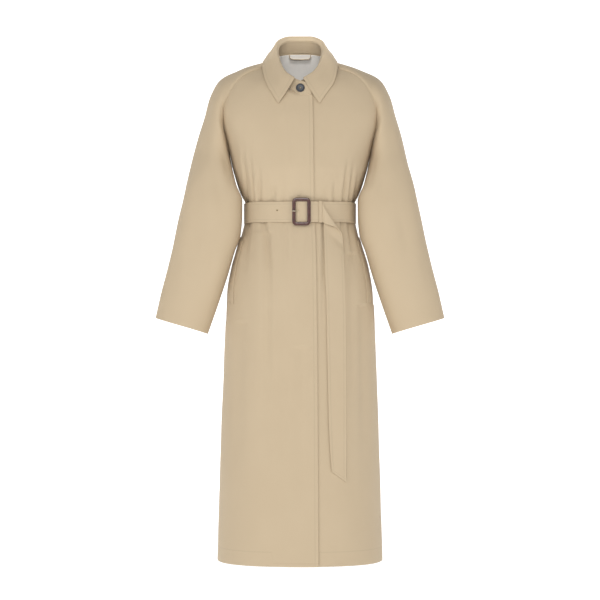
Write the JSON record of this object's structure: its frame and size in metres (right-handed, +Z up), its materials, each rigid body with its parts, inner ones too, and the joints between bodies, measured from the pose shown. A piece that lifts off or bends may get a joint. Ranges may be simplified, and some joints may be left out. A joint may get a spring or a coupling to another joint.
{
  "type": "trench coat",
  "caption": "Long belted coat with raglan sleeves, shirt collar, covered front closing and side pocket welts, filled out as worn, with its own buckled belt hanging down in front.",
  "frame": {"origin": "between the shoulders, level with the highest point of the shoulder line, where the coat is held", "axes": "+Z up along the coat, -Y out of its front, +X towards the wearer's left"},
  "size_m": [0.693, 0.3018, 1.2727],
  "materials": {
    "outer_cloth": "matte",
    "lining": "satin",
    "button": "satin",
    "buckle": "gloss",
    "pin": "satin"
  },
  "bodies": {
    "root": {"front_right": "outer_cloth", "front_left": "outer_cloth", "back": "outer_cloth", "sleeve_right": "outer_cloth", "sleeve_left": "outer_cloth", "collar": "outer_cloth", "collar_stand": "outer_cloth", "back_lining": "lining", "hanger_loop": "outer_cloth", "collar_button": "button", "pocket_welt_right": "outer_cloth", "pocket_welt_left": "outer_cloth", "belt": "outer_cloth", "belt_keeper": "outer_cloth", "buckle": "buckle", "buckle_pin": "pin"}
  },
  "joints": []
}
